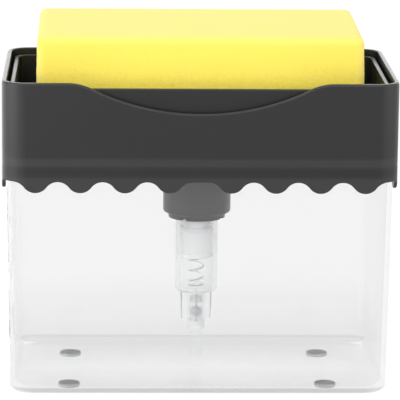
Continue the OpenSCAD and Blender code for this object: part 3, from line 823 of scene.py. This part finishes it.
def buildReservoir():
    r = reservoirShape
    shape = bmesh.new()
    innerHalf = (r["half"][0] - r["wall"], r["half"][1] - r["wall"])
    innerCorner = r["corner"] - r["wall"]

    def ringAt(half, corner, inset):
        return ((half[0] - inset) * mm, (half[1] - inset) * mm, corner * mm)

    def run(edges, last, half, corner, rows):
        for inset, z in rows:
            new = ringAt(half, corner, inset)
            edges = nextRing(shape, edges, last, new, z * mm)
            last = new
        return edges, last

    def bend(level, wide):
        return [(r["draft"] + inset, level + drop) for inset, drop in quarter(wide, r["bendSteps"])]

    bendTop = r["low"] + r["lowRound"]
    startInset = r["draft"] * (r["top"] - r["start"]) / (r["top"] - bendTop)
    start = ringAt(r["half"], r["corner"], startInset)
    outside = startRing(shape, start[:2], start[2], r["start"] * mm, r["cuts"], r["cornerSteps"])
    underRing, _ = run(outside, start, r["half"], r["corner"], bend(r["low"], r["lowRound"]))
    edge, middle = r["edge"]
    rim = [(0, r["top"] - edge), (middle, r["top"] - middle), (edge, r["top"])]
    edges, last = run(outside, start, r["half"], r["corner"], rim)
    innerRim = ringAt(innerHalf, innerCorner + edge, -edge)
    innerTop = ringAt(innerHalf, innerCorner, 0)
    edges = nextRing(shape, edges, last, innerRim, r["top"] * mm)
    edges = nextRing(shape, edges, innerRim, innerTop, (r["top"] - edge) * mm)
    floorRing, _ = run(edges, innerTop, innerHalf, innerCorner, bend(r["floor"], r["floorRound"]))
    bmesh.ops.edgeloop_fill(shape, edges=floorRing)
    radius, deep, flat = r["gate"]["radius"], r["gate"]["deep"], r["gate"]["flat"]
    gateTop = r["low"] + deep
    profile = [(0, gateTop), (radius * flat, gateTop), (radius, r["low"] + deep * flat), (radius, r["low"])]
    lathe(shape, profile, r["gate"]["steps"])
    fillBetween(shape, underRing, radius, r["low"], -1)
    closeUp(shape)
    shell = dress(
        shape, "reservoir_shell", "reservoir", ["reservoir"], finish["clear"], crease=40)
    paintEdgeShade(shell)
    return shell


buildReservoir()
padRound = {"rounding": 0.35, "steps": 3}
for spot in ("front_left", "front_right", "rear_left", "rear_right"):
    foot = softCopy("foot_" + spot, **padRound)
    dress(foot, "pad_" + spot, "reservoir", ["foot_" + spot], finish["pad"])
print("reservoir ready")


housingShape = {
    "flange": (10.4, 64.4),  # radius and underside
    "top": 66.0,
    "out": 7.4,
    "bore": 5.9,
    "floor": 30.6,  # of the chamber
    "low": 29.4,
    "chamfer": 1.0,
    "neck": (3.0, 15.5),  # radius and lower end
    "tubeSocket": (2.45, 18.9),  # radius and upper end, as of the two below
    "seat": (1.4, 19.9),
    "ballRoom": 2.3,
    "seam": 48.0,  # where the spun outline starts and ends
    "round": 0.12,
    "roundSteps": 2,
    "turnSteps": 72,
    "fin": {
        "in": 2.8,
        "out": 5.6,
        "thick": 0.8,
        "low": 19.1,
        "top": 29.8,
        "taper": 0.4,
        "round": 0.15,
        "outer": 4.0,  # its edges further out than this are rounded
    },
}


def buildHousing():
    h, fin = housingShape, housingShape["fin"]
    bore, out, low, top, seam = h["bore"], h["out"], h["low"], h["top"], h["seam"]
    (flangeR, flangeLow), (neckR, neckLow) = h["flange"], h["neck"]
    (socketR, socketTop), (seatR, seatTop) = h["tubeSocket"], h["seat"]
    profile = [(bore, seam), (bore, top), (flangeR, top), (flangeR, flangeLow), (out, flangeLow)]
    profile += [(out, low + h["chamfer"]), (out - h["chamfer"], low), (neckR, low), (neckR, neckLow)]
    profile += [(socketR, neckLow), (socketR, socketTop), (seatR, socketTop), (seatR, seatTop)]
    profile += [(h["ballRoom"], seatTop), (h["ballRoom"], h["floor"]), (bore, h["floor"]), (bore, seam)]
    shape = bmesh.new()
    lathe(shape, profile, h["turnSteps"], h["round"], h["roundSteps"])
    closeUp(shape)
    for turn in range(4):
        # a fin narrows a little towards its lower end
        before = set(shape.verts)
        for v in bmesh.ops.create_cube(shape, size=1.0)["verts"]:
            atLow = v.co.z < 0
            x = fin["in"] if v.co.x < 0 else fin["out"] - (fin["taper"] if atLow else 0.0)
            v.co = Vector((x, v.co.y * fin["thick"], fin["low"] if atLow else fin["top"])) * mm
        made = [v for v in shape.verts if v not in before]
        finEdges = dict.fromkeys(e for v in made for e in v.link_edges)
        outer = [e for e in finEdges if all(p.co.x > fin["outer"] * mm for p in e.verts)]
        roundOff(shape, outer, fin["round"] * mm, h["roundSteps"])
        made = [v for v in shape.verts if v not in before]
        quarterTurn = Matrix.Rotation(math.pi / 2 * turn, 3, "Z")
        bmesh.ops.rotate(shape, verts=made, cent=(0, 0, 0), matrix=quarterTurn)
    return dress(shape, "pump_chamber", "cover", ["pump_housing"], finish["milky"])


ringShape = {
    "bore": 7.6,
    "out": 10.55,
    "step": 10.0,
    "low": 56.1,
    "shelf": 58.0,
    "top": 64.4,
    "seam": 60.0,
    "round": 0.2,
    "turnSteps": 72,
    "notch": {"wide": 2.2, "deep": 0.8, "at": 60, "middle": 9.5, "long": 6},  # at is in degrees from +X
}


def notchTool():
    # four blocks that cut the spanner notches from below
    r, notch = ringShape, ringShape["notch"]
    tool = bmesh.new()
    for turn in range(4):
        before = set(tool.verts)
        bmesh.ops.create_cube(tool, size=1.0)
        made = [v for v in tool.verts if v not in before]
        for v in made:
            along = v.co.x * notch["long"] + notch["middle"]
            v.co = Vector((along, v.co.y * notch["wide"], v.co.z * 2 * notch["deep"] + r["low"])) * mm
        spot = Matrix.Rotation(math.radians(notch["at"] + 90 * turn), 3, "Z")
        bmesh.ops.rotate(tool, verts=made, cent=(0, 0, 0), matrix=spot)
    mesh = bpy.data.meshes.new("notchTool")
    tool.to_mesh(mesh)
    tool.free()
    cutter = bpy.data.objects.new("notchTool", mesh)
    scene.collection.objects.link(cutter)
    return cutter


def buildLockRing():
    r = ringShape
    bore, out, step, low, shelf, top = (r[name] for name in ("bore", "out", "step", "low", "shelf", "top"))
    profile = [(bore, r["seam"]), (bore, top), (out, top), (out, shelf)]
    profile += [(step, shelf), (step, low), (bore, low), (bore, r["seam"])]
    shape = bmesh.new()
    lathe(shape, profile, r["turnSteps"], r["round"])
    closeUp(shape)
    ring = dress(shape, "lock_ring_shell", "cover", ["lock_ring"], finish["dark"])
    cutter = notchTool()
    cut = ring.modifiers.new("notches", "BOOLEAN")
    cut.object = cutter
    cut.operation = "DIFFERENCE"
    cut.solver = "EXACT"
    ring.modifiers.move(1, 0)
    bpy.context.view_layer.update()
    whole = bpy.data.meshes.new_from_object(ring.evaluated_get(bpy.context.evaluated_depsgraph_get()))
    ring.modifiers.clear()
    ring.data = whole
    bpy.data.objects.remove(cutter)
    return ring


cageShape = {"round": 0.06, "tip": 0.1, "lift": 0.06}


def buildCage():
    s = cageShape
    cage = softCopy("ball_cage", s["round"], 1)
    low = min(v.co.z for v in cage.verts)
    for v in cage.verts:
        # the pin's end stays just clear of the ball at the top of its travel
        if v.co.z < low + s["tip"] * mm:
            v.co.z += s["lift"] * mm
    dress(cage, "ball_stop", "cover", ["ball_cage"], finish["cage"])


buildHousing()
buildLockRing()
buildCage()
smallPieces = [
    # CAD node, piece, body, slot, finish, rounding in mm and its steps
    ("pump_gasket", "gasket_ring", "cover", "seal", "seal", 0.2, 2),
    ("stem_guide", "guide_sleeve", "cover", "pump_plastic", "pump", 0.2, 2),
    ("dip_tube", "suction_tube", "cover", "milky_plastic", "tube", 0.15, 2),
    ("stem", "hollow_stem", "pump_rod", "pump_plastic", "pump", 0.15, 2),
    ("piston", "piston_cup", "pump_rod", "seal", "seal", 0.2, 3),
    ("piston_retainer", "piston_ring", "pump_rod", "pump_plastic", "pump", 0.15, 2),
    ("nozzle", "spout", "press_plate", "pump_plastic", "pump", 0.2, 3),
]
for nodeName, pieceName, body, slotName, look, rounding, steps in smallPieces:
    dress(softCopy(nodeName, rounding, steps), pieceName, body, [nodeName], finish[look])
for ball in ("inlet_ball", "outlet_ball"):
    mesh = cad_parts[ball].data
    mesh.materials.clear()
    mesh.materials.append(finish["ball"])
    for face in mesh.polygons:
        face.use_smooth = True
print("pump ready")


springShape = {
    "mean": 2.5,
    "wire": 0.3,
    "low": 30.95,
    "endRise": 1.05,
    "pitch": 3.644,
    "open": 4.5,  # turns between the two closed ones
    "start": 102,  # degrees from +X
    "sides": 12,
    "perTurn": 40,
}


def buildSpring():
    s = springShape
    shape = bmesh.new()
    bmesh.ops.create_circle(shape, cap_ends=True, segments=s["sides"], radius=s["wire"] * mm)
    upright = Matrix.Translation(Vector((s["mean"], 0, 0)) * mm) @ Matrix.Rotation(math.pi / 2, 4, "X")
    place = Matrix.Rotation(math.radians(s["start"]), 4, "Z") @ upright
    for v in shape.verts:
        v.co = place @ v.co + Vector((0, 0, s["low"] * mm))
    geom = shape.verts[:] + shape.edges[:] + shape.faces[:]
    for turns, rise in ((1, s["endRise"]), (s["open"], s["pitch"]), (1, s["endRise"])):
        steps = int(s["perTurn"] * turns)
        lift = (0, 0, rise * turns * mm / steps)
        made = bmesh.ops.spin(
            shape, geom=geom, cent=(0, 0, 0), axis=(0, 0, 1), dvec=lift, angle=2 * math.pi * turns,
            steps=steps, use_merge=False, use_duplicate=False)
        geom = made["geom_last"]
    closeUp(shape)
    spring = dress(
        shape, "coil_spring", "cover", ["spring"], finish["steel"], crease=50, weighted=False)
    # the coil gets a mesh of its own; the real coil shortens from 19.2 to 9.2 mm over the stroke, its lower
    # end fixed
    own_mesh(spring)
    return spring


buildSpring()
print("spring ready")


spongeShape = {
    "half": (55.65, 29.9),
    "low": 95.9,
    "top": 126.0,
    "round": 2.6,
    "cell": 0.7,
    "fall": 1.7,  # how much lower the top is at the front
    "fallCurve": 1.3,
    "belly": 0.35,  # a little wider lower down
    "bellyDepth": 0.4,  # the depth's share of it
    "bellyCurve": 0.6,
    "uneven": ((0.09, 0.25), (0.45, 0.35), (1.1, 0.5)),  # waves per mm, and each one's share
    "rough": 0.16,
    "skin": 0.1,  # how far the faces stay inside the block
    "pitCell": 0.55,
    "pitReach": 0.34,
    "pitPatch": (0.14, 0.1),  # waves per mm of the patches of pits, and how far they spread
    "pitSteep": 2.4,
    "pitFade": 0.75,  # fewer towards the top
    "pits": 0.32,
    "seed": (95.9, 29.4, 62.3),
    "clear": 0.02,  # over the tray's ribs
}


def foamDent(q, level):
    # how far the skin stands out at q, in mm
    s = spongeShape
    uneven = sum(noise.noise(q * often) * share for often, share in s["uneven"])
    near = noise.voronoi(q * s["pitCell"])[0]
    often, spread = s["pitPatch"]
    pit = max(0.0, s["pitReach"] - near[0]) * max(0.0, noise.noise(q * often) + spread)
    pit = pit * s["pitSteep"] * (1 - s["pitFade"] * level)
    return uneven * s["rough"] - pit * s["pits"] - s["skin"]


def buildSponge():
    s = spongeShape
    shape = bmesh.new()
    bmesh.ops.create_cube(shape, size=2.0)
    high = (s["top"] - s["low"]) / 2
    size = Vector((s["half"][0], s["half"][1], high))
    for v in shape.verts:
        v.co = Vector((v.co.x * size.x, v.co.y * size.y, v.co.z * size.z))
    for axis in (0, 1, 2):
        along = [e for e in shape.edges if abs(e.verts[0].co[axis] - e.verts[1].co[axis]) > size[axis]]
        cuts = int(2 * size[axis] / s["cell"])
        bmesh.ops.subdivide_edges(shape, edges=along, cuts=cuts, use_grid_fill=True)
    shift = Vector(s["seed"])
    lift = Vector((0, 0, (s["low"] + high) * mm))
    inner = size - Vector((s["round"],) * 3)
    for v in shape.verts:
        p = v.co.copy()
        core = Vector([max(-inner[i], min(inner[i], p[i])) for i in range(3)])
        off = p - core
        out = off.normalized() if off.length > 1e-6 else Vector((0, 0, 1))
        p = core + out * s["round"]
        level = (p.z + high) / (2 * high)
        swell = s["belly"] * math.sin(math.pi * min(1, max(0, level)) ** s["bellyCurve"])
        p.x += swell * (p.x / size.x) ** 3
        p.y += swell * (p.y / size.y) ** 3 * s["bellyDepth"]
        p.z -= s["fall"] * level * max(0.0, 0.5 - 0.5 * p.y / size.y) ** s["fallCurve"]
        p += out * foamDent(p + shift, level)
        v.co = Vector((p.x, p.y, max(p.z, -high + s["clear"]))) * mm + lift
    closeUp(shape)
    sponge = dress(
        shape, "foam_sponge", "sponge", ["sponge"], finish["foam"], crease=180, weighted=False)
    return sponge


buildSponge()
print("sponge ready")


floorSetup = {
    "size": 8.0,
    "paint": 0.8,
    "glow": 0.9,  # what the camera sees of the floor without any light on it
    "shade": 0.14,  # how much of the lamps' light and shadow the camera sees on it
    "mirror": (1.6, 0.55, 0.85),  # what shiny surfaces see of it at the left, in the middle and at the right
    "toLeft": (-0.2, -0.06),
    "toRight": (0.12, 0.7),
    "beyond": (0.3, 0.4),  # only the dark cover stands high enough to mirror the floor this far out
}


def whiteFloor(setup):
    material, tree, out = newMaterial("whiteFloor")
    path = node(tree, "ShaderNodeLightPath").outputs
    seen = calc(tree, "MAXIMUM", path["Is Camera Ray"], path["Is Transmission Ray"])
    paint = node(tree, "ShaderNodeBsdfDiffuse", {"Color": (setup["paint"],) * 3 + (1,)}).outputs[0]
    faint = node(tree, "ShaderNodeBsdfDiffuse", {"Color": (setup["shade"],) * 3 + (1,)}).outputs[0]
    glow = node(tree, "ShaderNodeEmission", {"Color": (1, 1, 1, 1), "Strength": setup["glow"]}).outputs[0]
    shown = node(tree, "ShaderNodeAddShader", {0: faint, 1: glow}).outputs[0]
    base = mixShader(tree, seen, paint, shown)
    place, axes = surfacePlace(tree)
    left, middle, right = setup["mirror"]
    toLeft = ramp(tree, axes["X"], setup["toLeft"], left - middle, 0.0)
    toRight = ramp(tree, axes["X"], setup["toRight"], 0.0, right - middle)
    reach = node(tree, "ShaderNodeVectorMath", {0: place}, operation="LENGTH").outputs["Value"]
    beyond = ramp(tree, reach, setup["beyond"])
    sides = calc(tree, "MULTIPLY", calc(tree, "ADD", toLeft, toRight), beyond)
    shineValues = {"Color": (1, 1, 1, 1), "Strength": calc(tree, "ADD", sides, middle)}
    shine = node(tree, "ShaderNodeEmission", shineValues).outputs[0]
    # a ray through rough plastic counts as glossy too
    bounced = calc(tree, "SUBTRACT", path["Is Glossy Ray"], path["Is Transmission Ray"])
    mirrored = mixShader(tree, calc(tree, "MAXIMUM", bounced, 0.0), base, shine)
    # seen from below the floor isn't there
    back = node(tree, "ShaderNodeNewGeometry").outputs["Backfacing"]
    none = node(tree, "ShaderNodeBsdfTransparent").outputs[0]
    tree.links.new(mixShader(tree, back, mirrored, none), out.inputs["Surface"])
    return material


def buildFloor(setup):
    shape = bmesh.new()
    bmesh.ops.create_grid(shape, x_segments=8, y_segments=8, size=setup["size"] / 2)
    mesh = bpy.data.meshes.new("floor")
    shape.to_mesh(mesh)
    shape.free()
    floor = bpy.data.objects.new("floor", mesh)
    scene.collection.objects.link(floor)
    mesh.materials.append(whiteFloor(setup))


worldSetup = {
    "ambient": 0.42,
    "frontMirror": 0.35,  # what shiny surfaces see in front of the caddy
    "rearMirror": 0.88,
    "mirrorEnds": (-0.95, -0.1),  # the Y of the directions between which it changes
    "rearGlow": 2.2,  # more of it low down at the back, where the rims mirror it and the floor doesn't
    "glowEnds": (0.5, 0.9),
    "glowBand": (0.03, 0.2125),
    "glowSoft": 0.023,
}


def background(tree, strength):
    return node(tree, "ShaderNodeBackground", {"Color": (1, 1, 1, 1), "Strength": strength}).outputs[0]


def buildWorld(setup):
    world = bpy.data.worlds.new("softRoom")
    scene.world = world
    world.use_nodes = True
    tree = world.node_tree
    tree.nodes.clear()
    out = node(tree, "ShaderNodeOutputWorld")
    path = node(tree, "ShaderNodeLightPath").outputs
    heading = node(tree, "ShaderNodeTexCoord").outputs["Generated"]
    axes = node(tree, "ShaderNodeSeparateXYZ", {0: heading}).outputs
    gloss = ramp(tree, axes["Y"], setup["mirrorEnds"], setup["frontMirror"], setup["rearMirror"])
    behind = ramp(tree, axes["Y"], setup["glowEnds"], 0.0, setup["rearGlow"])
    glow = calc(tree, "MULTIPLY", behind, band(tree, axes["Z"], setup["glowBand"], setup["glowSoft"]))
    mirrored = background(tree, calc(tree, "ADD", gloss, glow))
    unseen = mixShader(tree, path["Is Glossy Ray"], background(tree, setup["ambient"]), mirrored)
    seen = calc(tree, "MAXIMUM", path["Is Camera Ray"], path["Is Transmission Ray"])
    tree.links.new(mixShader(tree, seen, unseen, background(tree, 1.0)), out.inputs["Surface"])


lamps = {
    # name: (place, width, height, watts), in metres
    "key": ((-0.6, -1.0, 0.75), 0.6, 0.6, 3.4),
    "front": ((0.25, -1.25, 0.55), 0.9, 0.6, 4.2),
    "above": ((0.0, 0.1, 1.2), 0.9, 0.9, 4.0),
    "rearHigh": ((0.0, 1.05, 0.85), 1.4, 0.4, 4.5),
    "left": ((-0.9, -0.42, 0.25), 0.9, 0.6, 5.5),
    "right": ((0.9, -0.42, 0.25), 0.9, 0.6, 3.0),
}
lampAim = (0, 0, 0.08)  # the middle of the caddy


def addLamp(name, place, width, height, watts):
    light = bpy.data.lights.new(name, "AREA")
    light.shape = "RECTANGLE"
    light.size = width
    light.size_y = height
    light.energy = watts
    lamp = bpy.data.objects.new(name, light)
    scene.collection.objects.link(lamp)
    lamp.location = place
    lamp.rotation_mode = "QUATERNION"
    lamp.rotation_quaternion = (Vector(lampAim) - Vector(place)).to_track_quat("-Z", "Y")


buildFloor(floorSetup)
buildWorld(worldSetup)
for name, setup in lamps.items():
    addLamp(name, *setup)
print("room ready")
